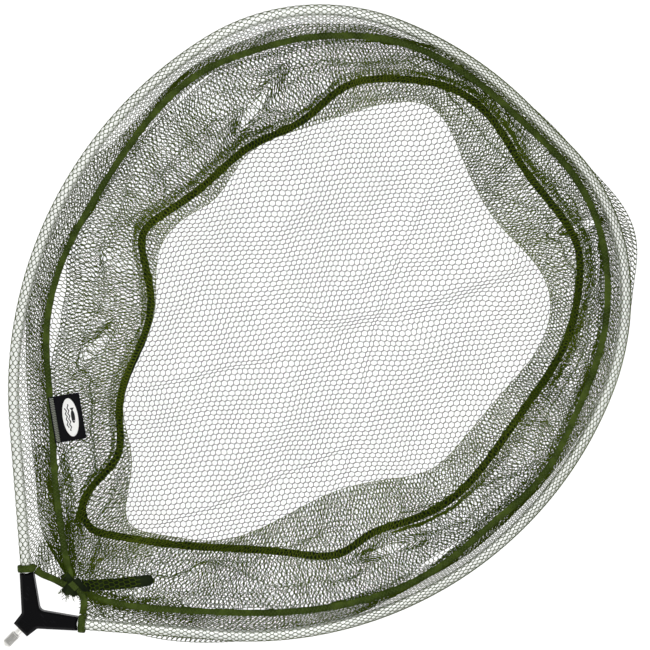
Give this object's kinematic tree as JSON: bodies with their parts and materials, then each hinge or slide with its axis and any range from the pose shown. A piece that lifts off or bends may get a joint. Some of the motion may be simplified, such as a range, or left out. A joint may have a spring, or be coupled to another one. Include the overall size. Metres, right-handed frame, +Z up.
{
  "type": "landing net",
  "caption": "Teardrop landing net head with a threaded stud, moulded yoke, tubular hoop and a knotless mesh bag lying collapsed inside the hoop.",
  "frame": {"origin": "on the stud's axis where its thread begins, 6.3 mm outside the yoke's neck face", "axes": "-Y along the stud, away from the yoke; +Y to the hoop's far end; +Z up out of the bag's mouth; the hoop's centreline lies in z = 0"},
  "size_m": [0.5841, 0.7554, 0.016],
  "materials": {
    "yoke_plastic": "glossy moulded black",
    "stud_metal": "turned, rolled thread",
    "hoop_metal": "satin silver",
    "net": "knotless knitted netting, dark olive",
    "tape": "knitted binding tape, dark olive",
    "thread": "polyester sewing thread",
    "label_cloth": "woven black satin label",
    "label_white": "white woven weft"
  },
  "bodies": {
    "head": {"yoke_block": "yoke_plastic", "handle_stud": "stud_metal", "hoop_tube": "hoop_metal", "sleeve_net": "net", "sleeve_hem_left": "tape", "sleeve_hem_right": "tape", "rim_tape": "tape", "rim_stitching": "thread", "wall_net": "net", "throat_gather": "tape", "tape_tail": "tape", "label_sewn_edge": "label_cloth", "label_stitching": "thread"},
    "bag_floor": {"base_net": "net", "base_tape": "tape", "base_stitching": "thread"},
    "label": {"label_flap": "label_cloth", "label_motif": "label_white"}
  },
  "joints": [
    {"name": "bag_drop", "type": "slide", "parent": "head", "child": "bag_floor", "axis": [0, 0, -1], "range_m": [0, 0.12], "deforming": ["wall_net"]},
    {"name": "label_flip", "type": "hinge", "parent": "head", "child": "label", "pos_m": [-0.12194, 0.18121, 0.00025], "axis": [0.8151, -0.5793, 0], "range_deg": [0, 150]}
  ]
}
